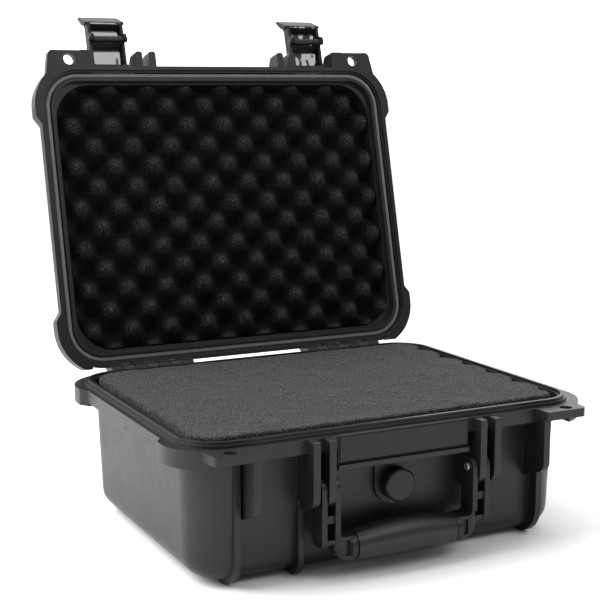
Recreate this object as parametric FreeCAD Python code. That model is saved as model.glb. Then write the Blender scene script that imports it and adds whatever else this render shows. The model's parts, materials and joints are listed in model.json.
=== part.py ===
import FreeCAD
import Part
import math
import os
from FreeCAD import Vector

# A hard equipment case, standing open. Millimetres, +Z up, +X to the case's right, -Y to its front.
# Every piece is drawn in the case frame with the lid shut: its origin is on the floor under the
# middle of the base. The pieces of the lid and the latches are then turned to the open position,
# and everything is moved so that the origin lies on the floor under the middle of the open case.

# Open position
LID_OPEN = 104.0
LATCH_OPEN = 92.0
CASE_SHIFT_Y = -48.74

# Heights above the floor
FOOT = 4.0
FLANGE_LOW = 92.0
BASE_RIM = 102.0
RIM_STEP = 104.0
RIDGE_TOP = 106.0
LID_RIM = 102.4
LID_STEP = 104.4
LID_FLANGE_TOP = 110.5
LID_TOP = 152.0

# Plan sizes, each half of the whole and measured from the middle
SEAL_X = 154.0
SEAL_Y = 118.0
SEAL_RADIUS = 27.0
FLANGE_X = 161.3
FLANGE_Y = 125.3
FLANGE_RADIUS = 34.0
FLANGE_LIP = 3.0
FLANGE_SKIN = 4.0
WALL_X = 151.0
WALL_Y = 110.0
PILLAR_Y = 115.0
BUMPER_X = 165.8
WALL = 3.6
DRAFT = 3.4
BOTTOM_ROUND = 12.0
SIDE_BOTTOM_ROUND = 16.0
SIDE_GUSSETS_Y = (-54, 25)
PILLAR_INNER_X = 120.0
PILLAR_RIB_THICKNESS = 4.8
SLED_RIB_X = 73.5
SLED_RIB_FRONT = 113.0

# Mouths of the two shells, as (half x, half y, corner radius)
BASE_MOUTH = (150.4, 114.4, 23.4)
LID_MOUTH = (149.0, 113.0, 22.0)

# Sealing rim
RIDGE_WIDTH = 2.6
GROOVE_WIDTH = 4.4
GASKET_WIDTH = 3.6
GASKET_LOW = 106.1
GROOVE_TOP = 108.6

# Front ribs, from the case's middle outwards
RIB_FRONT = 134.0
LID_RIB_FRONT = 138.5
INNER_RIB_X = 60.3
OUTER_RIB_X = 72.3
PADLOCK_RIB_X = 115.6
RIB_THICKNESS = 5.2
LID_RIB_THICKNESS = 6.2
RIB_LOW = 57.0
RIB_FOOT = 49.0

# Padlock tabs at the front corners
TAB_FRONT = 138.6
TAB_INNER_X = 112.0
BASE_TAB_OUTER_X = 146.5
LID_TAB_OUTER_X = 150.5
TAB_THICKNESS = 6.4
PADLOCK_X = 133.4
PADLOCK_Y = 131.2
PADLOCK_RADIUS = 4.75

# Hinges
HINGE_Y = 129.3
HINGE_Z = 102.2
KNUCKLE_RADIUS = 5.2
HINGE_PIN_RADIUS = 2.0
PIN_CLEARANCE = 0.05
KNUCKLE_START = 53.6
KNUCKLE_PITCH = 10.3
KNUCKLE_WIDTH = 9.7
KNUCKLE_STARTS = [KNUCKLE_START + KNUCKLE_PITCH * index for index in range(7)]
KNUCKLE_SPANS = [(start, start + KNUCKLE_WIDTH) for start in KNUCKLE_STARTS]
LID_KNUCKLES = KNUCKLE_SPANS[0::2]
BASE_KNUCKLES = KNUCKLE_SPANS[1::2]

# Latches, one in each bay between an outer rib and a padlock rib
LATCH_X = 94.2
LATCH_HALF = 15.6
LATCH_CHEEK = 2.6
LATCH_PIVOT_Y = -125.6
LATCH_PIVOT_Z = 114.8
LATCH_PIN_RADIUS = 1.6
HOOK_BAR_Y = -124.2
HOOK_BAR_Z = 88.9
HOOK_BAR_RADIUS = 2.6
HOOK_BAR_HALF = 17.2
LIP_HALF = 17.4

# Centre band and its blank label plate
BAND_HALF = 52.6
BAND_FRONT = -126.0
BAND_LOW = 82.6
BAND_TOP = 102.2
LABEL_THICKNESS = 1.0
LABEL_MARGIN = 1.4

# Pressure valve
VALVE_Z = 59.0
KNOB_RADIUS = 11.8
KNOB_BACK = -112.4
KNOB_FRONT = -122.2
PAD_RADIUS = 15.5
PAD_FRONT = -112.0
STEM_RADIUS = 4.0
NUT_FRONT = -104.6
NUT_BACK = -101.4
STEM_END = -100.8
NUT_RADIUS = 8.6

# Handle
HANDLE_PIN_Y = -124.5
HANDLE_PIN_Z = 66.5
HANDLE_PIN_RADIUS = 2.2
ARM_INNER_X = (53.2, 57.2)
ARM_OUTER_X = (63.4, 67.4)
ARM_HALF_DEPTH = 7.5
ARM_LOW = 26.0
ELBOW_TOP = 36.0
ELBOW_HALF = 9.0
ELBOW_ROUND = 12.0
GRIP_Z = 23.5
GRIP_HALF = 39.5
CORE_RADIUS = 7.5

# Foam
FOAM_GAP = 0.6
FOAM_TOP = 105.4
FOAM_LEDGE = 92.2
FOAM_PAD_LOW = 80.0
FOAM_BLOCK_LOW = 22.0
CAVITY_FLOOR = 8.0
LID_FOAM_LOW = 106.6
FOAM_RIM = (148.4, 112.4, 23.0)
FOAM_BOTTOM_SHRINK = 11.6

X_AXIS = Vector(1, 0, 0)
Y_AXIS = Vector(0, 1, 0)
Z_AXIS = Vector(0, 0, 1)


def rounded_wire(points, radii):
    """A closed flat wire through the points, with each corner rounded to its radius."""
    count = len(points)
    starts = []
    ends = []
    middles = []
    for index in range(count):
        corner = points[index]
        back = (points[index - 1] - corner).normalize()
        ahead = (points[(index + 1) % count] - corner).normalize()
        radius = radii[index]
        half_angle = back.getAngle(ahead) / 2
        reach = radius / math.tan(half_angle)
        middle = (back + ahead).normalize()
        starts.append(corner + back * reach)
        ends.append(corner + ahead * reach)
        middles.append(corner + middle * (radius / math.sin(half_angle) - radius))
    edges = []
    for index in range(count):
        if radii[index] > 0:
            edges.append(Part.Arc(starts[index], middles[index], ends[index]).toShape())
        following = (index + 1) % count
        if ends[index].distanceToPoint(starts[following]) > 1e-6:
            edges.append(Part.LineSegment(ends[index], starts[following]).toShape())
    return Part.Wire(edges)


def side_profile(points, radii, x_low, x_high):
    """A plate cut to a (y, z) outline, between two planes across X."""
    wire = rounded_wire([Vector(x_low, y, z) for y, z in points], radii)
    return Part.Face(wire).extrude(Vector(x_high - x_low, 0, 0))


def plan_profile(points, radii, z_low, z_high):
    """A plate cut to an (x, y) outline, between two heights."""
    wire = rounded_wire([Vector(x, y, z_low) for x, y in points], radii)
    return Part.Face(wire).extrude(Vector(0, 0, z_high - z_low))


def front_profile(points, radii, y_low, y_high):
    """A plate cut to an (x, z) outline, between two planes across Y."""
    wire = rounded_wire([Vector(x, y_low, z) for x, z in points], radii)
    return Part.Face(wire).extrude(Vector(0, y_high - y_low, 0))


def rectangle_wire(half_x, half_y, radius, z):
    corners = [(-half_x, -half_y), (half_x, -half_y), (half_x, half_y), (-half_x, half_y)]
    return rounded_wire([Vector(x, y, z) for x, y in corners], [radius] * 4)


def slab(half_x, half_y, radius, z_low, z_high):
    face = Part.Face(rectangle_wire(half_x, half_y, radius, z_low))
    return face.extrude(Vector(0, 0, z_high - z_low))


def tub(low, high, z_low, z_high):
    """A drafted block between two rounded rectangles, each given as (half x, half y, radius)."""
    return Part.makeLoft([rectangle_wire(*low, z_low), rectangle_wire(*high, z_high)], True, True)


def ring(half_x, half_y, radius, width, z_low, z_high):
    """An upright wall of the given width, centred on a rounded rectangle."""
    outside = slab(half_x + width / 2, half_y + width / 2, radius + width / 2, z_low, z_high)
    inside = slab(half_x - width / 2, half_y - width / 2, radius - width / 2, z_low - 1, z_high + 1)
    return outside.cut(inside)


def box(x_low, x_high, y_low, y_high, z_low, z_high):
    return Part.makeBox(x_high - x_low, y_high - y_low, z_high - z_low, Vector(x_low, y_low, z_low))


def rod(radius, x_low, x_high, y, z):
    """A cylinder along X."""
    return Part.makeCylinder(radius, x_high - x_low, Vector(x_low, y, z), X_AXIS)


def edges_at(shape, z):
    return [edge for edge in shape.Edges
            if abs(edge.BoundBox.ZMin - z) < 1e-4 and abs(edge.BoundBox.ZMax - z) < 1e-4]


def mirrored(shape):
    return shape.mirror(Vector(0, 0, 0), X_AXIS)


def both_sides(shape):
    """The right-hand shape and its mirror image on the left."""
    return [shape, mirrored(shape)]


def fuse_all(shapes):
    return shapes[0].multiFuse(shapes[1:]).removeSplitter()


def cut_all(shape, tools):
    return shape.cut(Part.makeCompound(tools))


def corner_bumper(y_sign, z_low, z_high):
    """The bulge round one right-hand corner of a flange."""
    radius = BUMPER_X - FLANGE_X + FLANGE_RADIUS
    end_y = FLANGE_Y - FLANGE_RADIUS + radius
    points = [(120, 85), (FLANGE_X - 1, 76), (BUMPER_X, 84), (BUMPER_X, end_y), (120, end_y)]
    bulge = plan_profile(points, [0, 0, 4, radius, 0], z_low, z_high)
    far_y = end_y + 1 if y_sign < 0 else FLANGE_Y
    bulge = bulge.common(box(PADLOCK_X + PADLOCK_RADIUS + 1.4, BUMPER_X + 1, 60, far_y, z_low, z_high))
    if y_sign < 0:
        bulge = bulge.mirror(Vector(0, 0, 0), Y_AXIS)
    return bulge


def padlock_tab(outer_x, z_low, z_high):
    """The plate at the right-hand front corner, with its padlock hole."""
    points = [(TAB_INNER_X, -116), (TAB_INNER_X, -TAB_FRONT), (outer_x, -TAB_FRONT),
              (outer_x + 3.5, -119), (outer_x - 2, -108)]
    plate = plan_profile(points, [0, 1.5, 4, 0, 0], z_low, z_high)
    hole = Part.makeCylinder(PADLOCK_RADIUS, 40, Vector(PADLOCK_X, -PADLOCK_Y, z_low - 20), Z_AXIS)
    return plate.cut(hole)


def front_rib(x_centre, thickness, top):
    """One upright rib on the base's front wall."""
    points = [(-106, top), (-RIB_FRONT, top), (-RIB_FRONT, RIB_LOW), (-106, RIB_FOOT - 2)]
    return side_profile(points, [0, 1.5, 9, 0], x_centre - thickness / 2, x_centre + thickness / 2)


def sled_rib(x_low, x_high, front, top, turn_radius):
    """A rib that runs down the wall and turns under it as a foot."""
    points = [(-98, top), (-front, top), (-front, 0), (-62, 0), (-66, FOOT + 4), (-98, 22)]
    return side_profile(points, [0, 2, turn_radius, 3, 0, 0], x_low, x_high)


def knuckle(x_low, x_high, reach_y, reach_z):
    """A hinge knuckle with a web that runs to (reach_y, reach_z) on a wall."""
    barrel = rod(KNUCKLE_RADIUS, x_low, x_high, HINGE_Y, HINGE_Z)
    down = -1 if reach_z < HINGE_Z else 1
    points = [(HINGE_Y + KNUCKLE_RADIUS, HINGE_Z), (HINGE_Y - KNUCKLE_RADIUS, HINGE_Z),
              (reach_y, HINGE_Z + down * 3), (reach_y, reach_z)]
    web = side_profile(points, [0, 0, 0, 0], x_low, x_high)
    return barrel.fuse(web)


def hinge_hole(x_low, x_high):
    return rod(HINGE_PIN_RADIUS + PIN_CLEARANCE, x_low - 1, x_high + 1, HINGE_Y, HINGE_Z)


def wall_recess(y_sign):
    """What is taken off the front or back wall between the corner pillars."""
    wall_low = WALL_Y - DRAFT
    points = [(150, -2), (90, -2), (90, FOOT), (wall_low, FOOT),
              (WALL_Y, FLANGE_LOW + 2), (150, FLANGE_LOW + 2)]
    points = [(y_sign * y, z) for y, z in points]
    return side_profile(points, [0, 0, 0, BOTTOM_ROUND, 0, 0], -PILLAR_INNER_X, PILLAR_INNER_X)


def base_shell():
    body = tub((WALL_X - DRAFT, PILLAR_Y - DRAFT, 30), (WALL_X, PILLAR_Y, 33), FOOT, FLANGE_LOW + 2)
    body = body.makeFillet(SIDE_BOTTOM_ROUND, edges_at(body, FOOT))
    body = body.cut(wall_recess(-1))
    body = body.cut(wall_recess(1))
    rim = slab(FLANGE_X, FLANGE_Y, FLANGE_RADIUS, FLANGE_LOW, BASE_RIM)
    hollow = slab(FLANGE_X - FLANGE_LIP, FLANGE_Y - FLANGE_LIP, FLANGE_RADIUS - FLANGE_LIP,
                  FLANGE_LOW - 1, BASE_RIM - FLANGE_SKIN)
    hollow = hollow.cut(slab(WALL_X + 2, PILLAR_Y + 1.5, 34, 0, 120))
    rim = rim.cut(hollow)
    rim = rim.fuse(slab(SEAL_X + 3.4, SEAL_Y + 3.4, SEAL_RADIUS + 3.4, BASE_RIM - 1, RIM_STEP))
    solids = [body, rim]
    solids.append(ring(SEAL_X, SEAL_Y, SEAL_RADIUS, RIDGE_WIDTH, RIM_STEP - 1, RIDGE_TOP))

    band = box(-BAND_HALF, BAND_HALF, BAND_FRONT, -108, BAND_LOW, BAND_TOP)
    front_edges = [edge for edge in band.Edges if abs(edge.BoundBox.YMax - BAND_FRONT) < 1e-6]
    band = band.makeFillet(1.0, front_edges)
    solids.append(band)
    solids.append(box(-BAND_HALF, BAND_HALF, BAND_FRONT - 1.6, -108, BAND_LOW - 4.4, BAND_LOW - 0.9))
    solids.append(box(-BAND_HALF, BAND_HALF, BAND_FRONT + 1.2, -108, BAND_LOW - 1.2, BAND_LOW + 0.5))
    pad = Part.makeCylinder(PAD_RADIUS, 5, Vector(0, PAD_FRONT, VALVE_Z), Y_AXIS)
    solids.append(pad)
    solids.append(box(-PAD_RADIUS, PAD_RADIUS, PAD_FRONT, PAD_FRONT + 5, VALVE_Z, BAND_LOW - 2))
    solids.append(sled_rib(-SLED_RIB_X - 2.1, -SLED_RIB_X + 2.1, SLED_RIB_FRONT, 58, 15))

    for y_sign in (-1, 1):
        solids += both_sides(corner_bumper(y_sign, FLANGE_LOW - 2.5, BASE_RIM))
    for rib_x in (INNER_RIB_X, OUTER_RIB_X):
        solids += both_sides(front_rib(rib_x, RIB_THICKNESS, BASE_RIM - 0.6))
    solids += both_sides(front_rib(PADLOCK_RIB_X, RIB_THICKNESS, BASE_RIM - TAB_THICKNESS + 1))
    solids += both_sides(padlock_tab(BASE_TAB_OUTER_X, BASE_RIM - TAB_THICKNESS, BASE_RIM))
    front_foot = sled_rib(PILLAR_INNER_X, PILLAR_INNER_X + PILLAR_RIB_THICKNESS, PILLAR_Y + 1.6,
                          FLANGE_LOW + 1, 23)
    solids += both_sides(front_foot)
    solids += both_sides(front_foot.mirror(Vector(0, 0, 0), Y_AXIS))
    for x_low, x_high in BASE_KNUCKLES:
        solids += both_sides(knuckle(x_low, x_high, 112, 70))
    for gusset_y in SIDE_GUSSETS_Y:
        points = [(WALL_X - 3, 78), (FLANGE_X - 3, FLANGE_LOW + 4), (WALL_X - 3, FLANGE_LOW + 4)]
        gusset = front_profile(points, [0, 0, 0], gusset_y - 1.5, gusset_y + 1.5)
        solids += both_sides(gusset)

    shell = fuse_all(solids)

    cavity_low = (WALL_X - DRAFT - WALL, WALL_Y - DRAFT - WALL, 23.4)
    cavity_high = (WALL_X - WALL, WALL_Y - WALL, 26.4)
    cavity = tub(cavity_low, cavity_high, CAVITY_FLOOR, FLANGE_LOW + 1)
    cavity = cavity.makeFillet(SIDE_BOTTOM_ROUND - WALL - 1, edges_at(cavity, CAVITY_FLOOR))
    mouth = slab(*BASE_MOUTH, FLANGE_LOW, RIDGE_TOP + 5)
    tools = [cavity, mouth]
    stem_hole = Part.makeCylinder(STEM_RADIUS + PIN_CLEARANCE, 30, Vector(0, PAD_FRONT - 10, VALVE_Z), Y_AXIS)
    tools.append(stem_hole)
    for sign in (-1, 1):
        tools.append(rod(HANDLE_PIN_RADIUS + PIN_CLEARANCE, sign * INNER_RIB_X - 5, sign * INNER_RIB_X + 5,
                         HANDLE_PIN_Y, HANDLE_PIN_Z))
    for x_low, x_high in BASE_KNUCKLES:
        tools += both_sides(hinge_hole(x_low, x_high))
    for x_low, x_high in LID_KNUCKLES:
        tools += both_sides(rod(KNUCKLE_RADIUS + 0.8, x_low - 0.2, x_high + 0.2, HINGE_Y, HINGE_Z))
    return cut_all(shell, tools)


def lid_rib(x_low, x_high, front, top, nose):
    """One upright rib on the lid's front wall, with its front edges rounded by the nose radius."""
    points = [(-112, LID_RIM), (-front, LID_RIM), (-front, top - 10), (-112, top + 6)]
    rib = side_profile(points, [0, 1.5, (top - LID_RIM) / 3, 0], x_low, x_high)
    plan = [(x_low, -100), (x_low, -front), (x_high, -front), (x_high, -100)]
    return rib.common(plan_profile(plan, [0, nose, nose, 0], LID_RIM - 1, top + 20))


def lid_shell():
    body = tub((WALL_X, PILLAR_Y, 33), (WALL_X - 4, PILLAR_Y - 4, 30), LID_RIM, LID_TOP)
    body = body.makeFillet(9, edges_at(body, LID_TOP))
    rim = slab(FLANGE_X, FLANGE_Y, FLANGE_RADIUS, LID_RIM, LID_FLANGE_TOP)
    solids = [body, rim]
    for y_sign in (-1, 1):
        solids += both_sides(corner_bumper(y_sign, LID_RIM, LID_FLANGE_TOP + 3))
    solids += both_sides(padlock_tab(LID_TAB_OUTER_X, LID_RIM, LID_RIM + TAB_THICKNESS))
    half = LID_RIB_THICKNESS / 2
    for rib_x in (INNER_RIB_X, OUTER_RIB_X):
        solids += both_sides(lid_rib(rib_x - half, rib_x + half, LID_RIB_FRONT, 126, half - 0.2))
    solids += both_sides(lid_rib(TAB_INNER_X, TAB_INNER_X + 12, TAB_FRONT + 0.8, 126, 2.5))
    solids += both_sides(lid_rib(LID_TAB_OUTER_X - 7, LID_TAB_OUTER_X - 1, TAB_FRONT + 0.6, 119, 2.5))
    for x_low, x_high in LID_KNUCKLES:
        solids += both_sides(knuckle(x_low, x_high, 116, 128))
    for rail_x in (-86, 86):
        rail = slab(5, 82, 4.9, LID_TOP - 4, LID_TOP + 1.6)
        rail.translate(Vector(rail_x, 0, 0))
        solids.append(rail)
    shell = fuse_all(solids)

    cavity_low = (WALL_X - WALL - 0.5, PILLAR_Y - WALL - 0.5, 30)
    cavity_high = (WALL_X - 4 - WALL, PILLAR_Y - 4 - WALL, 26.4)
    cavity = tub(cavity_low, cavity_high, LID_FLANGE_TOP - 2, LID_TOP - WALL)
    cavity = cavity.makeFillet(6, edges_at(cavity, LID_TOP - WALL))
    mouth = slab(*LID_MOUTH, LID_RIM - 1, LID_FLANGE_TOP - 1)
    recess = slab(SEAL_X + 3.9, SEAL_Y + 3.9, SEAL_RADIUS + 3.9, LID_RIM - 1, LID_STEP)
    groove = ring(SEAL_X, SEAL_Y, SEAL_RADIUS, GROOVE_WIDTH, LID_RIM - 1, GROOVE_TOP)
    panel = slab(70, 70, 8, LID_TOP - 1.2, LID_TOP + 5)
    tools = [cavity, mouth, recess, groove, panel]
    pin_hole = rod(LATCH_PIN_RADIUS + PIN_CLEARANCE, OUTER_RIB_X - 1, TAB_INNER_X + 4,
                   LATCH_PIVOT_Y, LATCH_PIVOT_Z)
    tools += both_sides(pin_hole)
    padlock_hole = Part.makeCylinder(PADLOCK_RADIUS, 60, Vector(PADLOCK_X, -PADLOCK_Y, LID_RIM - 10), Z_AXIS)
    tools += both_sides(padlock_hole)
    bay = box(OUTER_RIB_X + half, TAB_INNER_X, -140, -117.5, LID_RIM + 4.8, 140)
    tools += both_sides(bay)
    for x_low, x_high in LID_KNUCKLES:
        tools += both_sides(hinge_hole(x_low, x_high))
    for x_low, x_high in BASE_KNUCKLES:
        tools += both_sides(rod(KNUCKLE_RADIUS + 0.8, x_low - 0.2, x_high + 0.2, HINGE_Y, HINGE_Z))
    return cut_all(shell, tools)


def lid_gasket():
    gasket = ring(SEAL_X, SEAL_Y, SEAL_RADIUS, GASKET_WIDTH, GASKET_LOW, GROOVE_TOP - 0.02)
    return gasket.makeFillet(0.9, edges_at(gasket, GASKET_LOW))


def latch_lever():
    """The right-hand latch: two cheeks, a front plate between them and a flared finger lip."""
    y = LATCH_PIVOT_Y
    z = LATCH_PIVOT_Z
    outer_points = [(-130.6, z + 5.0), (-135.4, z - 0.2), (-135.4, 76.5), (-142.5, 66)]
    outer_radii = [4, 4, 6, 0.8]
    cheek_points = [(y + 4.4, z - 4.4), (y + 4.4, z + 4.4)] + outer_points
    cheek_points += [(-127.2, 73.2), (-126.8, 83.6), (-120, 84.9), (-120, 91.4), (-126.6, 91.4),
                     (-126.6, z - 4.4)]
    cheek_radii = [4.2, 4.2] + outer_radii + [0.8, 3, 2.9, 2.9, 0.8, 0.8]
    right = LATCH_X + LATCH_HALF
    left = LATCH_X - LATCH_HALF
    cheeks = [side_profile(cheek_points, cheek_radii, left, left + LATCH_CHEEK),
              side_profile(cheek_points, cheek_radii, right - LATCH_CHEEK, right)]
    plate_points = [(-128.1, z + 4.7)] + outer_points
    plate_points += [(-127.2, 73.2), (-127.1, 75), (-133, 80.2), (-131.2, 80.6), (-131.2, 90.2),
                     (-128.4, 91.4), (-133, 97.4), (-131.2, 97.9), (-131.2, 111.7), (-128.1, z + 2.6)]
    plate_radii = [0] + outer_radii + [0.8, 0.5, 0.8, 0.3, 0.5, 0.5, 0.8, 0.3, 2, 0]
    plate = side_profile(plate_points, plate_radii, left, right)
    barrel = rod(4.1, left, right, y, z)
    neck_points = [(y, z + 0.4), (y - 9, z - 0.6), (y - 9, z + 3.4), (y, z + 4)]
    neck = side_profile(neck_points, [0, 0, 0, 0], left, right)
    lip_points = [(-128.4, 72.4), (-144.6, 63.4), (-145.7, 65.2), (-136.6, 73.6), (-128.4, 74.6)]
    lip = side_profile(lip_points, [0.8, 0.6, 0.6, 2, 0.5], LATCH_X - LIP_HALF, LATCH_X + LIP_HALF)
    lever = fuse_all(cheeks + [plate, barrel, neck, lip])
    tools = [rod(LATCH_PIN_RADIUS + PIN_CLEARANCE, left - 1, right + 1, y, z),
             rod(HOOK_BAR_RADIUS + PIN_CLEARANCE, left - 1, right + 1, HOOK_BAR_Y, HOOK_BAR_Z)]
    return cut_all(lever, tools)


def hook_bar():
    bar = rod(HOOK_BAR_RADIUS, LATCH_X - HOOK_BAR_HALF, LATCH_X + HOOK_BAR_HALF, HOOK_BAR_Y, HOOK_BAR_Z)
    ends = [edge for edge in bar.Edges if edge.BoundBox.XLength < 1e-6]
    return bar.makeFillet(1.2, ends)


def latch_pin():
    return rod(LATCH_PIN_RADIUS, OUTER_RIB_X - 0.8, TAB_INNER_X + 3.8, LATCH_PIVOT_Y, LATCH_PIVOT_Z)


def hinge_pin():
    x_low = LID_KNUCKLES[0][0] - 0.6
    x_high = LID_KNUCKLES[-1][1] + 0.6
    pin = rod(HINGE_PIN_RADIUS, x_low, x_high, HINGE_Y, HINGE_Z)
    return pin.makeChamfer(0.5, [edge for edge in pin.Edges if edge.BoundBox.XLength < 1e-6])


def arm_plate(x_low, x_high, z_low, end_radius):
    depth = ARM_HALF_DEPTH
    points = [(HANDLE_PIN_Y - depth, HANDLE_PIN_Z + depth), (HANDLE_PIN_Y - depth, z_low),
              (HANDLE_PIN_Y + depth, z_low), (HANDLE_PIN_Y + depth, HANDLE_PIN_Z + depth)]
    return side_profile(points, [depth, end_radius, end_radius, depth], x_low, x_high)


def elbow():
    """The rounded turn from an inner arm plate into the end of the grip."""
    low = GRIP_Z - ELBOW_HALF
    high = GRIP_Z + ELBOW_HALF
    start = GRIP_HALF + 2
    inner, outer = ARM_INNER_X
    points = [(start, low), (outer, low), (outer, ELBOW_TOP), (inner, ELBOW_TOP), (inner, high), (start, high)]
    turn = front_profile(points, [0, ELBOW_ROUND, 0, 0, 3, 0], HANDLE_PIN_Y - ARM_HALF_DEPTH,
                         HANDLE_PIN_Y + ARM_HALF_DEPTH)
    lower_edges = [edge for edge in turn.Edges
                   if edge.BoundBox.ZMin < low + 1e-6 and edge.BoundBox.YLength < 1e-6]
    return turn.makeFillet(3.5, lower_edges)


def oval_section(x, half_y, half_z, z_centre):
    """A smooth closed oval round the handle's bar, in a plane across X."""
    points = []
    for index in range(12):
        angle = index * math.pi / 6
        y = HANDLE_PIN_Y + half_y * math.cos(angle)
        z = z_centre + half_z * math.sin(angle)
        points.append(Vector(x, y, z))
    curve = Part.BSplineCurve()
    curve.interpolate(Points=points, PeriodicFlag=True)
    return Part.Wire([curve.toShape()])


def handle_frame():
    """Two forked arms joined by a round core bar."""
    inner = ARM_INNER_X[1] - 0.5
    outer = ARM_OUTER_X[0] + 0.5
    side = [arm_plate(*ARM_INNER_X, ELBOW_TOP - 1, 0), arm_plate(*ARM_OUTER_X, ARM_LOW, 5), elbow()]
    side.append(box(inner, outer, HANDLE_PIN_Y - 6, HANDLE_PIN_Y + 2, 43, 48.5))
    foot_points = [(HANDLE_PIN_Y - 6.6, 31.4), (HANDLE_PIN_Y - 6.6, 27), (HANDLE_PIN_Y + 6.6, 27),
                   (HANDLE_PIN_Y + 6.6, 31.4)]
    side.append(side_profile(foot_points, [0, 3, 3, 0], inner, outer))
    side.append(rod(9.6, GRIP_HALF + 0.8, GRIP_HALF + 5.5, HANDLE_PIN_Y, GRIP_Z))
    side_solid = fuse_all(side)
    slot = side_profile([(HANDLE_PIN_Y - 12, GRIP_Z - 4.5), (HANDLE_PIN_Y - 12, GRIP_Z + 6.5),
                         (HANDLE_PIN_Y - 5.5, GRIP_Z + 6.5), (HANDLE_PIN_Y - 5.5, GRIP_Z - 4.5)],
                        [0, 0, 1, 1], GRIP_HALF + 6.4, GRIP_HALF + 10.2)
    hole = rod(HANDLE_PIN_RADIUS + PIN_CLEARANCE, ARM_INNER_X[0] - 1, ARM_OUTER_X[1] + 1,
               HANDLE_PIN_Y, HANDLE_PIN_Z)
    side_solid = cut_all(side_solid, [slot, hole])
    core = rod(CORE_RADIUS, -GRIP_HALF - 2, GRIP_HALF + 2, HANDLE_PIN_Y, GRIP_Z)
    return fuse_all(both_sides(side_solid) + [core])


def handle_grip():
    """The soft sleeve over the core bar, thickest in the middle."""
    sections = []
    for x, half_y, half_z, rise in ((-GRIP_HALF, 10.0, 10.2, 0), (-26, 11.0, 11.4, 0.8), (0, 11.6, 12.4, 1.6),
                                    (26, 11.0, 11.4, 0.8), (GRIP_HALF, 10.0, 10.2, 0)):
        sections.append(oval_section(x, half_y, half_z, GRIP_Z + rise))
    sleeve = Part.makeLoft(sections, True, False)
    bore = rod(CORE_RADIUS + PIN_CLEARANCE, -GRIP_HALF - 1, GRIP_HALF + 1, HANDLE_PIN_Y, GRIP_Z)
    return sleeve.cut(bore)


def handle_pin():
    shaft = rod(HANDLE_PIN_RADIUS, ARM_INNER_X[0] - 0.3, ARM_OUTER_X[1] + 0.6, HANDLE_PIN_Y, HANDLE_PIN_Z)
    head = rod(2.9, ARM_INNER_X[0] - 1.4, ARM_INNER_X[0] - 0.1, HANDLE_PIN_Y, HANDLE_PIN_Z)
    head = head.makeFillet(0.8, [edge for edge in head.Edges
                                 if abs(edge.BoundBox.XMax - ARM_INNER_X[0] + 1.4) < 1e-6])
    return shaft.fuse(head).removeSplitter()


def turned(profile, y_start):
    """A solid turned about the valve's axis from (radius, distance behind y_start) points."""
    points = [Vector(radius, y_start + depth, VALVE_Z) for radius, depth in profile]
    wire = Part.makePolygon(points + [points[0]])
    return Part.Face(wire).revolve(Vector(0, 0, VALVE_Z), Y_AXIS, 360)


def valve_knob():
    """A turning knob on a hollow stem."""
    depth = KNOB_BACK - KNOB_FRONT
    stem = STEM_END - KNOB_FRONT
    profile = [(0, 0), (KNOB_RADIUS - 1.2, 0), (KNOB_RADIUS, 1.2), (KNOB_RADIUS, depth), (6.5, depth),
               (6.5, depth - 1.6), (STEM_RADIUS, depth - 1.6), (STEM_RADIUS, stem), (0, stem)]
    knob = turned(profile, KNOB_FRONT)
    flutes = []
    for index in range(24):
        angle = index * 2 * math.pi / 24
        centre = Vector((KNOB_RADIUS + 0.55) * math.cos(angle), KNOB_FRONT + 2.4,
                        VALVE_Z + (KNOB_RADIUS + 0.55) * math.sin(angle))
        flutes.append(Part.makeCylinder(1.0, depth, centre, Y_AXIS))
    return cut_all(knob, flutes)


def valve_o_ring():
    return Part.makeTorus(5.15, 0.75, Vector(0, KNOB_BACK - 0.8, VALVE_Z), Y_AXIS)


def valve_nut():
    corners = []
    for index in range(6):
        angle = index * math.pi / 3
        corners.append(Vector(NUT_RADIUS * math.cos(angle), NUT_FRONT, VALVE_Z + NUT_RADIUS * math.sin(angle)))
    wire = Part.makePolygon(corners + [corners[0]])
    nut = Part.Face(wire).extrude(Vector(0, NUT_BACK - NUT_FRONT, 0))
    bore = Part.makeCylinder(STEM_RADIUS + PIN_CLEARANCE, 10, Vector(0, NUT_FRONT - 2, VALVE_Z), Y_AXIS)
    return nut.cut(bore)


def label_plate():
    half = BAND_HALF - LABEL_MARGIN
    low = BAND_LOW + LABEL_MARGIN
    high = BAND_TOP - LABEL_MARGIN
    points = [(-half, low), (half, low), (half, high), (-half, high)]
    return front_profile(points, [1.5] * 4, BAND_FRONT - LABEL_THICKNESS, BAND_FRONT)


def foam_slab(shrink, z_low, z_high):
    """A foam layer in the drafted part of the base, clear of its walls by the foam gap."""
    share = (z_low - FOOT) / (FLANGE_LOW + 2 - FOOT)
    inset = WALL + FOAM_GAP + DRAFT * (1 - share) + shrink
    return slab(WALL_X - inset, WALL_Y - inset, 27, z_low, z_high)


def base_foam_top():
    lower = foam_slab(0, FOAM_PAD_LOW, FOAM_LEDGE + 1)
    upper = slab(*FOAM_RIM, FOAM_LEDGE, FOAM_TOP)
    return lower.fuse(upper).removeSplitter()


def base_foam_middle():
    """The thick block, with a pocket for the valve's nut."""
    block = foam_slab(0, FOAM_BLOCK_LOW, FOAM_PAD_LOW - 0.2)
    reach = NUT_RADIUS + 2
    pocket = box(-reach, reach, -WALL_Y, NUT_BACK + 3, VALVE_Z - reach, VALVE_Z + reach)
    return block.cut(pocket)


def base_foam_bottom():
    return foam_slab(FOAM_BOTTOM_SHRINK, CAVITY_FLOOR + 0.1, FOAM_BLOCK_LOW - 0.2)


def lid_foam():
    low = (WALL_X - WALL - 1.4, PILLAR_Y - WALL - 1.4, 30)
    high = (WALL_X - 4 - WALL - 6, PILLAR_Y - 4 - WALL - 6, 24)
    return tub(low, high, LID_FOAM_LOW, LID_TOP - WALL - 0.2)


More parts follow.
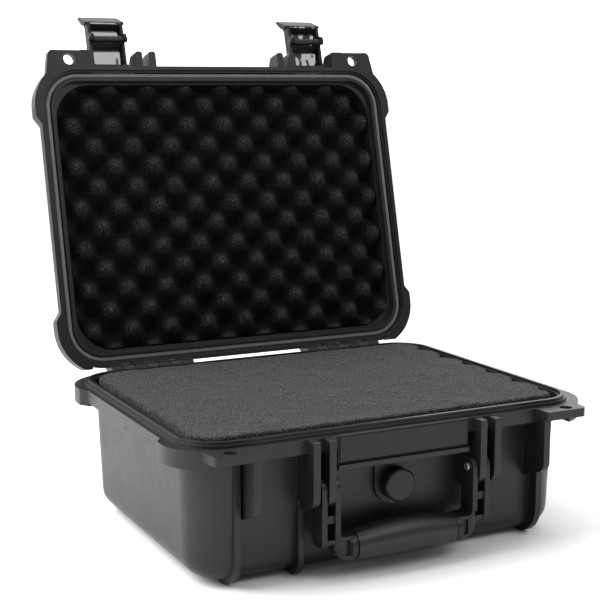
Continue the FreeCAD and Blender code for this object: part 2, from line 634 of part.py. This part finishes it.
def opened(shape):
    """Turn a piece of the lid from shut to open."""
    turned_shape = shape.copy()
    turned_shape.rotate(Vector(0, HINGE_Y, HINGE_Z), X_AXIS, -LID_OPEN)
    return turned_shape


def unlatched(shape):
    """Turn a piece of a latch from hooked to thrown back, then open it with the lid."""
    turned_shape = shape.copy()
    turned_shape.rotate(Vector(0, LATCH_PIVOT_Y, LATCH_PIVOT_Z), X_AXIS, -LATCH_OPEN)
    return opened(turned_shape)


def save(name, shape):
    placed = shape.copy()
    placed.translate(Vector(0, CASE_SHIFT_Y, 0))
    if not placed.isValid() or placed.Volume <= 0:
        print("PROBLEM", name, placed.isValid(), placed.Volume)
    placed.exportStep("parts/" + name + ".step")
    bounds = placed.BoundBox
    limits = (bounds.XMin, bounds.XMax, bounds.YMin, bounds.YMax, bounds.ZMin, bounds.ZMax)
    print(name, len(placed.Solids), round(placed.Volume), [round(value, 2) for value in limits])


def save_pair(name, right_shape, place):
    """A right-hand piece and its mirror image, each in its own node."""
    save(name + "_right", place(right_shape))
    save(name + "_left", place(mirrored(right_shape)))


def as_drawn(shape):
    return shape


os.makedirs("parts", exist_ok=True)
save("base_shell", base_shell())
save("lid_shell", opened(lid_shell()))
save("lid_gasket", opened(lid_gasket()))
save("lid_foam", opened(lid_foam()))
save("base_foam_top", base_foam_top())
save("base_foam_middle", base_foam_middle())
save("base_foam_bottom", base_foam_bottom())
save("label_plate", label_plate())
save("handle_frame", handle_frame())
save("handle_grip", handle_grip())
save("valve_knob", valve_knob())
save("valve_o_ring", valve_o_ring())
save("valve_nut", valve_nut())
save_pair("latch_lever", latch_lever(), unlatched)
save_pair("latch_hook_bar", hook_bar(), unlatched)
save_pair("latch_pin", latch_pin(), opened)
save_pair("hinge_pin", hinge_pin(), as_drawn)
save_pair("handle_pin", handle_pin(), as_drawn)
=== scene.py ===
"""Looks of the hard equipment case: its materials and foam, the camera, the floor and the lights.

Lengths are in metres. Places come from the loaded frame, and the case stands open at rest.
"""

import json
import math

import bmesh
import bpy
from mathutils import Matrix, Vector, noise


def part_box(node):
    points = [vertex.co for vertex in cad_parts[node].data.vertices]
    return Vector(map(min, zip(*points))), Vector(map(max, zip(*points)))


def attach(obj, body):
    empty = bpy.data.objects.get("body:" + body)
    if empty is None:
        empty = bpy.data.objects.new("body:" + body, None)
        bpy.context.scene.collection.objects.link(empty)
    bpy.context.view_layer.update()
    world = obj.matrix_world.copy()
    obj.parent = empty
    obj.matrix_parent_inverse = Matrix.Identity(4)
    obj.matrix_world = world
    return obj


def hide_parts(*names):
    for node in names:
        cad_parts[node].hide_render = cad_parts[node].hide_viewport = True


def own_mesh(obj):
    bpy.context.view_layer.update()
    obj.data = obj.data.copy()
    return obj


MM = 0.001

# Camera, in the case's own frame: x and z from the origin, y from the middle of the base foam
CAMERA_X = -463.8 * MM
CAMERA_Y = -883.6 * MM
CAMERA_Z = 337.1 * MM
CAMERA_YAW = 26.8
CAMERA_PITCH = -9.4
CAMERA_LENS = 79.5
SENSOR = 36.0

# Studio
SKY_FRONT = 0.38
SKY_BACK = 1.9
FLOOR_HALF = 40.0

# Moulded plastic
GRAIN_SCALE = 900.0
GRAIN_DEPTH = 0.04 * MM
EDGE_SOFTNESS = 0.6 * MM

# Latches: the glossy plates between the cheeks, and how nearly a face must share their direction
PLATE_HALF = 12.8 * MM
PLATE_MATCH = 0.97
PLATE_WAVE = 1.6 * MM

# Lid foam
EGG_PERIOD = 34.3 * MM
EGG_START_X = 4.0 * MM
EGG_START_Y = -111.0 * MM
EGG_DEPTH = 19.0 * MM
LID_FOAM_TAPER = 9.0 * MM
LID_FOAM_CORNER = 26.0 * MM
LID_FOAM_EDGE = 2.0 * MM
LID_FOAM_GAP = 0.4 * MM
LID_FOAM_ROUGHNESS = 0.4 * MM
LID_FOAM_RINGS = 90
LID_FOAM_STEP = 1.8 * MM

# Base foam: its top layer, then the blocks under it
FOAM_EDGE_ROUND = 2.2 * MM
FOAM_SWELL = 1.5 * MM
FOAM_DRAWN = 13.0 * MM
SCALLOP_PITCH = 34.5 * MM
SCALLOP_DEPTH = 8.0 * MM
SCALLOP_NOTCH = 10.0 * MM
SCALLOP_STEP = 3.5 * MM
FOAM_STEP = 0.6 * MM
FOAM_WAVER = 1.6 * MM
FOAM_CORNER = 21.0 * MM
FOAM_RINGS = 60
FOAM_OUTLINE_STEP = 1.6 * MM
BLOCK_CORNER = 25.0 * MM
BLOCK_EDGE = 2.0 * MM
BLOCK_LIFT = 0.2 * MM
BLOCK_RINGS = 12
BLOCK_OUTLINE_STEP = 5.0 * MM

# Every foam pad: the loops of points over its rounded edge, then down its side
PAD_EDGE_LOOPS = 4
PAD_SIDE_LOOPS = 6


def value(node, name, setting):
    """Set one named input of a shader node."""
    node.inputs[name].default_value = setting


def ramp(tree, source, low, high, dark, light):
    """Map a value onto a blend of two colours, between a low and a high setting."""
    node = tree.nodes.new("ShaderNodeValToRGB")
    node.color_ramp.elements[0].position = low
    node.color_ramp.elements[1].position = high
    node.color_ramp.elements[0].color = (*dark, 1)
    node.color_ramp.elements[1].color = (*light, 1)
    tree.links.new(source, node.inputs["Fac"])
    return node.outputs["Color"]


def noise_value(tree, scale, detail=2.0, roughness=0.5):
    """A noise texture on the object's own coordinates."""
    place = tree.nodes.new("ShaderNodeTexCoord")
    node = tree.nodes.new("ShaderNodeTexNoise")
    value(node, "Scale", scale)
    value(node, "Detail", detail)
    value(node, "Roughness", roughness)
    tree.links.new(place.outputs["Object"], node.inputs["Vector"])
    return node.outputs["Fac"]


def bump(tree, height, strength, distance, edge=0.0):
    """A bump from a height, over edges softened by the edge radius."""
    node = tree.nodes.new("ShaderNodeBump")
    value(node, "Strength", strength)
    value(node, "Distance", distance)
    tree.links.new(height, node.inputs["Height"])
    if edge > 0:
        rounded = tree.nodes.new("ShaderNodeBevel")
        rounded.samples = 4
        value(rounded, "Radius", edge)
        tree.links.new(rounded.outputs["Normal"], node.inputs["Normal"])
    return node.outputs["Normal"]


def new_material(name):
    material = bpy.data.materials.new(name)
    material.use_nodes = True
    tree = material.node_tree
    return material, tree, tree.nodes["Principled BSDF"]


def plastic(name, dark, light, rough_low, rough_high, specular):
    """Moulded plastic: a fine grain, patchy sheen and slightly uneven colour."""
    material, tree, shader = new_material(name)
    cloud = noise_value(tree, 22.0, detail=5.0, roughness=0.6)
    colour = ramp(tree, cloud, 0.2, 0.8, [dark] * 3, [light, light, light * 1.03])
    tree.links.new(colour, shader.inputs["Base Color"])
    patch = noise_value(tree, 70.0, detail=4.0, roughness=0.65)
    rough = ramp(tree, patch, 0.2, 0.8, [rough_low] * 3, [rough_high] * 3)
    tree.links.new(rough, shader.inputs["Roughness"])
    value(shader, "Specular IOR Level", specular)
    fine = noise_value(tree, GRAIN_SCALE, detail=3.0, roughness=0.7)
    tree.links.new(bump(tree, fine, 0.5, GRAIN_DEPTH, EDGE_SOFTNESS), shader.inputs["Normal"])
    return material


def math_node(tree, operation, first, second=0.0):
    """One arithmetic step on a shader value, with another value or a number."""
    node = tree.nodes.new("ShaderNodeMath")
    node.operation = operation
    tree.links.new(first, node.inputs[0])
    if isinstance(second, float):
        node.inputs[1].default_value = second
    else:
        tree.links.new(second, node.inputs[1])
    return node.outputs["Value"]


def latch_plastic(name):
    """Satin plastic, with the inner plates between a latch's cheeks left glossy and slightly wavy."""
    material, tree, shader = new_material(name)
    place = tree.nodes.new("ShaderNodeTexCoord")
    parts = tree.nodes.new("ShaderNodeSeparateXYZ")
    tree.links.new(place.outputs["Object"], parts.inputs["Vector"])
    low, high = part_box("latch_lever_right")
    side = math_node(tree, "ABSOLUTE", parts.outputs["X"])
    side = math_node(tree, "SUBTRACT", side, (low.x + high.x) / 2)
    side = math_node(tree, "ABSOLUTE", side)
    between = math_node(tree, "LESS_THAN", side, PLATE_HALF)
    lid_turn = max(joint("lid_hinge")["range_deg"])
    latch_turn = max(joint("latch_left_pivot")["range_deg"])
    turn = math.radians(lid_turn + latch_turn)
    facing = tree.nodes.new("ShaderNodeVectorMath")
    facing.operation = "DOT_PRODUCT"
    facing.inputs[1].default_value = (0, math.cos(turn), -math.sin(turn))
    tree.links.new(place.outputs["Normal"], facing.inputs[0])
    flat = math_node(tree, "GREATER_THAN", facing.outputs["Value"], PLATE_MATCH)
    plate = math_node(tree, "MULTIPLY", between, flat)
    cloud = noise_value(tree, 60.0, detail=4.0)
    colour = ramp(tree, cloud, 0.2, 0.8, [0.005] * 3, [0.009] * 3)
    rough = ramp(tree, plate, 0.0, 1.0, [0.42] * 3, [0.08] * 3)
    specular = ramp(tree, plate, 0.0, 1.0, [0.16] * 3, [1.0] * 3)
    tree.links.new(colour, shader.inputs["Base Color"])
    tree.links.new(rough, shader.inputs["Roughness"])
    tree.links.new(specular, shader.inputs["Specular IOR Level"])
    wave = noise_value(tree, 75.0, detail=1.0, roughness=0.5)
    height = math_node(tree, "MULTIPLY", wave, plate)
    tree.links.new(bump(tree, height, 1.0, PLATE_WAVE, 0.4 * MM), shader.inputs["Normal"])
    return material


def rubber(name, dark, light, rough):
    """Soft rubber with a dull, dusty face."""
    material, tree, shader = new_material(name)
    cloud = noise_value(tree, 160.0, detail=6.0, roughness=0.7)
    colour = ramp(tree, cloud, 0.3, 0.7, [dark] * 3, [light] * 3)
    tree.links.new(colour, shader.inputs["Base Color"])
    value(shader, "Roughness", rough)
    value(shader, "Specular IOR Level", 0.4)
    fine = noise_value(tree, 1400.0, detail=2.0)
    tree.links.new(bump(tree, fine, 0.35, GRAIN_DEPTH), shader.inputs["Normal"])
    return material


def foam(name, dark, light, cell_size, sheen, hollows=False):
    """Open-cell foam: a speckle of pores, with painted shade darkening the hollows where they are
    marked.
    """
    material, tree, shader = new_material(name)
    speckle = noise_value(tree, 1.0 / cell_size, detail=1.0, roughness=0.5)
    colour = ramp(tree, speckle, 0.36, 0.72, [dark] * 3, [light] * 3)
    if hollows:
        height = tree.nodes.new("ShaderNodeAttribute")
        height.attribute_name = "hollow"
        # Painted shade: the colour darkens towards the bottom of each hollow, standing in for the shade
        # that falls there.
        painted_hollow_shade = ramp(tree, height.outputs["Fac"], 0.02, 0.45, [1.0] * 3, [0.14] * 3)
        shade = tree.nodes.new("ShaderNodeMix")
        shade.data_type = "RGBA"
        shade.blend_type = "MULTIPLY"
        value(shade, "Factor", 1.0)
        tree.links.new(colour, shade.inputs["A"])
        tree.links.new(painted_hollow_shade, shade.inputs["B"])
        colour = shade.outputs["Result"]
    tree.links.new(colour, shader.inputs["Base Color"])
    value(shader, "Roughness", 1.0)
    value(shader, "Specular IOR Level", 0.08)
    value(shader, "Sheen Weight", sheen)
    value(shader, "Sheen Roughness", 0.6)
    pores = tree.nodes.new("ShaderNodeTexVoronoi")
    place = tree.nodes.new("ShaderNodeTexCoord")
    value(pores, "Scale", 0.8 / cell_size)
    tree.links.new(place.outputs["Object"], pores.inputs["Vector"])
    tree.links.new(bump(tree, pores.outputs["Distance"], 0.6, 0.6 * MM), shader.inputs["Normal"])
    return material


def steel(name):
    """Plain steel pin with faint turning marks."""
    material, tree, shader = new_material(name)
    value(shader, "Metallic", 1.0)
    marks = noise_value(tree, 500.0, detail=3.0)
    colour = ramp(tree, marks, 0.3, 0.7, [0.5] * 3, [0.66] * 3)
    tree.links.new(colour, shader.inputs["Base Color"])
    value(shader, "Roughness", 0.28)
    tree.links.new(bump(tree, marks, 0.2, 0.03 * MM), shader.inputs["Normal"])
    return material


def paint(node, material):
    """Give a CAD node one material."""
    obj = frame["nodes"][node]
    obj.data.materials.clear()
    obj.data.materials.append(material)


def new_piece(name, mesh_code, material, body):
    """A piece made by bmesh code, which rides on a body."""
    mesh = bpy.data.meshes.new(name)
    grid = bmesh.new()
    mesh_code(grid)
    bmesh.ops.recalc_face_normals(grid, faces=grid.faces)
    grid.to_mesh(mesh)
    grid.free()
    for face in mesh.polygons:
        face.use_smooth = True
    obj = bpy.data.objects.new(name, mesh)
    bpy.context.scene.collection.objects.link(obj)
    mesh.materials.append(material)
    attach(obj, body)
    return obj


def joint(name):
    return next(entry for entry in frame["joints"] if entry["name"] == name)


def shut_to_open():
    """The turn that takes a piece of the shut lid to its place at rest."""
    hinge = joint("lid_hinge")
    place = Vector(hinge["pos_m"])
    turn = Matrix.Rotation(-math.radians(max(hinge["range_deg"])), 4, Vector(hinge["axis"]))
    return Matrix.Translation(place) @ turn @ Matrix.Translation(-place)


def shut_box(node):
    """A lid node's lowest and highest corners when the lid is shut."""
    back = shut_to_open().inverted()
    points = [back @ vertex.co for vertex in frame["nodes"][node].data.vertices]
    low = Vector([min(point[axis] for point in points) for axis in range(3)])
    high = Vector([max(point[axis] for point in points) for axis in range(3)])
    return low, high


def rounded_outline(half_x, half_y, radius, step):
    """Points and outward normals round a rounded rectangle, at even steps."""
    points = []
    straight_x = half_x - radius
    straight_y = half_y - radius
    sides = [((half_x, -straight_y), (0, 1), (1, 0), 2 * straight_y, (straight_x, straight_y), 0),
             ((straight_x, half_y), (-1, 0), (0, 1), 2 * straight_x, (-straight_x, straight_y), 90),
             ((-half_x, straight_y), (0, -1), (-1, 0), 2 * straight_y, (-straight_x, -straight_y), 180),
             ((-straight_x, -half_y), (1, 0), (0, -1), 2 * straight_x, (straight_x, -straight_y), 270)]
    for start, along, normal, length, centre, angle in sides:
        count = max(1, round(length / step))
        for index in range(count):
            reach = length * index / count
            point = Vector((start[0] + along[0] * reach, start[1] + along[1] * reach))
            points.append((point, Vector(normal)))
        count = max(4, round(radius * math.pi / 2 / step))
        for index in range(count):
            turn = math.radians(angle + 90 * index / count)
            out = Vector((math.cos(turn), math.sin(turn)))
            points.append((Vector(centre) + out * radius, out))
    return points


def close_grid(grid, loops, top_cap, bottom_cap):
    """Join equal loops of points into a closed skin."""
    rows = [[grid.verts.new(point) for point in loop] for loop in loops]
    count = len(rows[0])
    for upper, lower in zip(rows, rows[1:]):
        for index in range(count):
            following = (index + 1) % count
            grid.faces.new((upper[index], upper[following], lower[following], lower[index]))
    for row, cap in ((rows[0], top_cap), (rows[-1], bottom_cap)):
        centre = grid.verts.new(cap)
        for index in range(count):
            grid.faces.new((row[index], row[(index + 1) % count], centre))


def pad_loops(outline, centre, top, bottom, edge, inward, rise, rings, taper=0.0):
    """Loops from the middle of a pad's top, out over a rounded edge, and down its tapered side."""
    loops = []
    for ring in range(1, rings + 1):
        share = ring / rings
        loop = []
        for point, normal in outline:
            rim = point - normal * (edge + inward(point, normal))
            spot = rim * share
            loop.append(Vector((centre.x + spot.x, centre.y + spot.y, top + rise(spot))))
        loops.append(loop)
    for step in range(1, PAD_EDGE_LOOPS + 1):
        turn = math.radians(90 * step / PAD_EDGE_LOOPS)
        loop = []
        for point, normal in outline:
            rim = point - normal * (edge + inward(point, normal))
            spot = rim + normal * edge * math.sin(turn)
            height = top + rise(spot) - edge * (1 - math.cos(turn))
            loop.append(Vector((centre.x + spot.x, centre.y + spot.y, height)))
        loops.append(loop)
    side = loops[-1]
    for step in range(1, PAD_SIDE_LOOPS + 1):
        share = step / PAD_SIDE_LOOPS
        loop = []
        for point, (_, normal) in zip(side, outline):
            shrink = normal * taper * share
            height = point.z + (bottom - point.z) * share
            loop.append(Vector((point.x - shrink.x, point.y - shrink.y, height)))
        loops.append(loop)
    return loops


def scallop(point, normal):
    """How far the top foam's edge stands back: cusped waves on the right, a slow waver elsewhere."""
    if normal.x > 0.7:
        place = (point.y - SCALLOP_NOTCH) / SCALLOP_PITCH
        share = abs(2 * (place - math.floor(place)) - 1)
        return SCALLOP_STEP + SCALLOP_DEPTH * share ** 2.5
    slow = noise.noise(Vector((point.x, point.y, 0)) * 45)
    quick = noise.noise(Vector((point.x, point.y, 1)) * 130)
    waver = slow + 0.5 * quick
    return FOAM_STEP + FOAM_WAVER * (1 + waver)


def base_foam_top(material):
    """The top layer, drawn in its free shape a little above the rim; the squeeze when the lid shuts is
    not modelled.
    """
    low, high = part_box("base_foam_top")
    centre = (low + high) / 2
    half = (high - low) / 2
    outline = rounded_outline(half.x, half.y, FOAM_CORNER, FOAM_OUTLINE_STEP)
    top = high.z + FOAM_SWELL
    bottom = high.z - FOAM_DRAWN

    def rise(spot):
        place = Vector((spot.x, spot.y, 0))
        return 0.7 * MM * noise.noise(place * 38) + 0.3 * MM * noise.noise(place * 160)

    def build(grid):
        loops = pad_loops(outline, centre, top, bottom, FOAM_EDGE_ROUND, scallop, rise, FOAM_RINGS)
        close_grid(grid, loops, (centre.x, centre.y, top), (centre.x, centre.y, bottom))

    piece = new_piece("foam_top_pad", build, material, "base")
    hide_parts("base_foam_top")
    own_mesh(piece)


def foam_block(node, name, material):
    """A lower foam block, with softened edges and slightly bowed sides."""
    low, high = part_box(node)
    centre = (low + high) / 2
    half = (high - low) / 2
    outline = rounded_outline(half.x, half.y, BLOCK_CORNER, BLOCK_OUTLINE_STEP)
    bottom = low.z + BLOCK_LIFT

    def inward(point, normal):
        return 0.6 * MM + 0.5 * MM * math.sin(point.x * 60 + point.y * 80)

    def rise(spot):
        return 0.4 * MM * noise.noise(Vector((spot.x, spot.y, 0)) * 40) - 0.5 * MM

    def build(grid):
        loops = pad_loops(outline, centre, high.z, bottom, BLOCK_EDGE, inward, rise, BLOCK_RINGS)
        close_grid(grid, loops, (centre.x, centre.y, high.z), (centre.x, centre.y, bottom))

    piece = new_piece(name, build, material, "base")
    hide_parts(node)


def egg_height(x, y):
    """0 at the top of a peak and 1 at the bottom of a hollow."""
    turn = 2 * math.pi / EGG_PERIOD
    wave = math.cos(turn * (x - EGG_START_X)) * math.cos(turn * (y - EGG_START_Y))
    return 0.5 - 0.5 * wave


def lid_foam(material):
    """The egg-crate pad, drawn with the lid shut and its peaks down, then turned to the open lid."""
    low, high = shut_box("lid_foam")
    centre = (low + high) / 2
    half = (high - low) / 2
    place = shut_to_open()
    outline = rounded_outline(half.x, half.y, LID_FOAM_CORNER, LID_FOAM_STEP)

    def inward(point, normal):
        return LID_FOAM_GAP

    def rise(spot):
        grain = LID_FOAM_ROUGHNESS * noise.noise(Vector((spot.x, spot.y, 3)) * 120)
        return -EGG_DEPTH * egg_height(spot.x, spot.y) + grain

    def flip(point):
        return place @ Vector((point.x, point.y, low.z - point.z))

    def build(grid):
        loops = pad_loops(outline, centre, 0.0, low.z - high.z, LID_FOAM_EDGE, inward, rise,
                          LID_FOAM_RINGS, LID_FOAM_TAPER)
        flipped = [[flip(point) for point in loop] for loop in loops]
        top = place @ Vector((centre.x, centre.y, low.z + EGG_DEPTH * egg_height(0, 0)))
        bottom = place @ Vector((centre.x, centre.y, high.z))
        close_grid(grid, flipped, top, bottom)

    piece = new_piece("foam_lid_pad", build, material, "lid")
    # Depth into the egg-crate hollows at each point, which the foam material turns into painted shade.
    hollow = piece.data.attributes.new("hollow", "FLOAT", "POINT")
    back = place.inverted()
    for vertex, depth in zip(piece.data.vertices, hollow.data):
        spot = back @ vertex.co
        depth.value = egg_height(spot.x - centre.x, spot.y - centre.y)
    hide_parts("lid_foam")


def camera():
    """The camera, in front of the case and to its left."""
    low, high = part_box("base_foam_top")
    middle_y = (low.y + high.y) / 2
    data = bpy.data.cameras.new("camera")
    data.lens = CAMERA_LENS
    data.sensor_width = SENSOR
    obj = bpy.data.objects.new("camera", data)
    obj.location = (CAMERA_X, CAMERA_Y + middle_y, CAMERA_Z)
    obj.rotation_euler = (math.radians(90 + CAMERA_PITCH), 0, -math.radians(CAMERA_YAW))
    bpy.context.scene.collection.objects.link(obj)
    bpy.context.scene.camera = obj


def area_light(name, place, aim, size_x, size_y, power):
    """A soft box at a place, turned towards its aim."""
    data = bpy.data.lights.new(name, "AREA")
    data.shape = "RECTANGLE"
    data.size = size_x
    data.size_y = size_y
    data.energy = power
    obj = bpy.data.objects.new(name, data)
    obj.location = place
    obj.rotation_euler = (Vector(aim) - Vector(place)).to_track_quat("-Z", "Y").to_euler()
    bpy.context.scene.collection.objects.link(obj)


def studio():
    """White floor, a sky that is bright behind the case and dim in front of it, and soft boxes."""
    world = bpy.data.worlds.new("studio")
    world.use_nodes = True
    tree = world.node_tree
    direction = tree.nodes.new("ShaderNodeTexCoord")
    parts = tree.nodes.new("ShaderNodeSeparateXYZ")
    fade = tree.nodes.new("ShaderNodeMapRange")
    fade.interpolation_type = "SMOOTHSTEP"
    value(fade, "From Min", -0.5)
    value(fade, "From Max", 0.35)
    value(fade, "To Min", SKY_FRONT)
    value(fade, "To Max", SKY_BACK)
    tree.links.new(direction.outputs["Generated"], parts.inputs["Vector"])
    tree.links.new(parts.outputs["Y"], fade.inputs["Value"])
    tree.links.new(fade.outputs["Result"], tree.nodes["Background"].inputs["Strength"])
    tree.nodes["Background"].inputs["Color"].default_value = (1, 1, 1, 1)
    bpy.context.scene.world = world

    mesh = bpy.data.meshes.new("floor")
    half = FLOOR_HALF
    corners = [(-half, -half, 0), (half, -half, 0), (half, half, 0), (-half, half, 0)]
    mesh.from_pydata(corners, [], [(0, 1, 2, 3)])
    floor = bpy.data.objects.new("floor", mesh)
    bpy.context.scene.collection.objects.link(floor)
    material, tree, shader = new_material("floor_white")
    value(shader, "Base Color", (0.86, 0.86, 0.86, 1))
    value(shader, "Roughness", 0.9)
    value(shader, "Specular IOR Level", 0.0)
    mesh.materials.append(material)

    area_light("top_box", (-0.1, 0.1, 1.5), (0, 0, 0.1), 1.4, 1.2, 6)
    area_light("left_box", (-1.2, 0.2, 1.0), (-0.5, 0.1, 0), 1.1, 1.1, 26)
    area_light("right_box", (0.5, -1.08, 1.18), (0, 0, 0.25), 0.7, 0.6, 6.5)


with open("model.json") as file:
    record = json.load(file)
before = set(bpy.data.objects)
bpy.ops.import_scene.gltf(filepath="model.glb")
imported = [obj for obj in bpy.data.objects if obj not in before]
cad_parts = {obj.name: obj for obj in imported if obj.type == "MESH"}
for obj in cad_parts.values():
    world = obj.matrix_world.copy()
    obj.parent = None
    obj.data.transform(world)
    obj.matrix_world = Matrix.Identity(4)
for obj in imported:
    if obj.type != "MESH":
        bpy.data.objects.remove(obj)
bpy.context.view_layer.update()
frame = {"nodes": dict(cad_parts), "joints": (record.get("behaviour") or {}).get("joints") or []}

shell = plastic("shell_plastic", 0.007, 0.0105, 0.34, 0.44, specular=0.33)
lid_plastic = plastic("lid_plastic", 0.006, 0.009, 0.34, 0.44, specular=0.23)
gloss = latch_plastic("latch_plastic")
trim = plastic("trim_plastic", 0.006, 0.009, 0.32, 0.42, specular=0.3)
label = plastic("label_plastic", 0.008, 0.011, 0.4, 0.5, specular=0.3)
gasket = rubber("gasket_rubber", 0.11, 0.16, 0.5)
grip = rubber("grip_rubber", 0.006, 0.009, 0.42)
pin = steel("pin_steel")
base_foam = foam("base_foam", 0.003, 0.06, 1.3 * MM, 0.05)
# The lid foam gets painted shade in its hollows.
lid_foam_material = foam("lid_foam", 0.002, 0.042, 1.3 * MM, 0.02, hollows=True)

paint("base_shell", shell)
paint("lid_shell", lid_plastic)
for node in ("handle_frame", "valve_knob", "valve_nut"):
    paint(node, trim)
paint("label_plate", label)
paint("handle_grip", grip)
paint("lid_gasket", gasket)
paint("valve_o_ring", gasket)
for side in ("left", "right"):
    paint("latch_lever_" + side, gloss)
    paint("latch_hook_bar_" + side, trim)
    for kind in ("latch_pin_", "hinge_pin_", "handle_pin_"):
        paint(kind + side, pin)

base_foam_top(base_foam)
foam_block("base_foam_middle", "foam_middle_block", base_foam)
foam_block("base_foam_bottom", "foam_bottom_pad", base_foam)
lid_foam(lid_foam_material)

bpy.context.scene.view_settings.view_transform = "Standard"
studio()
camera()
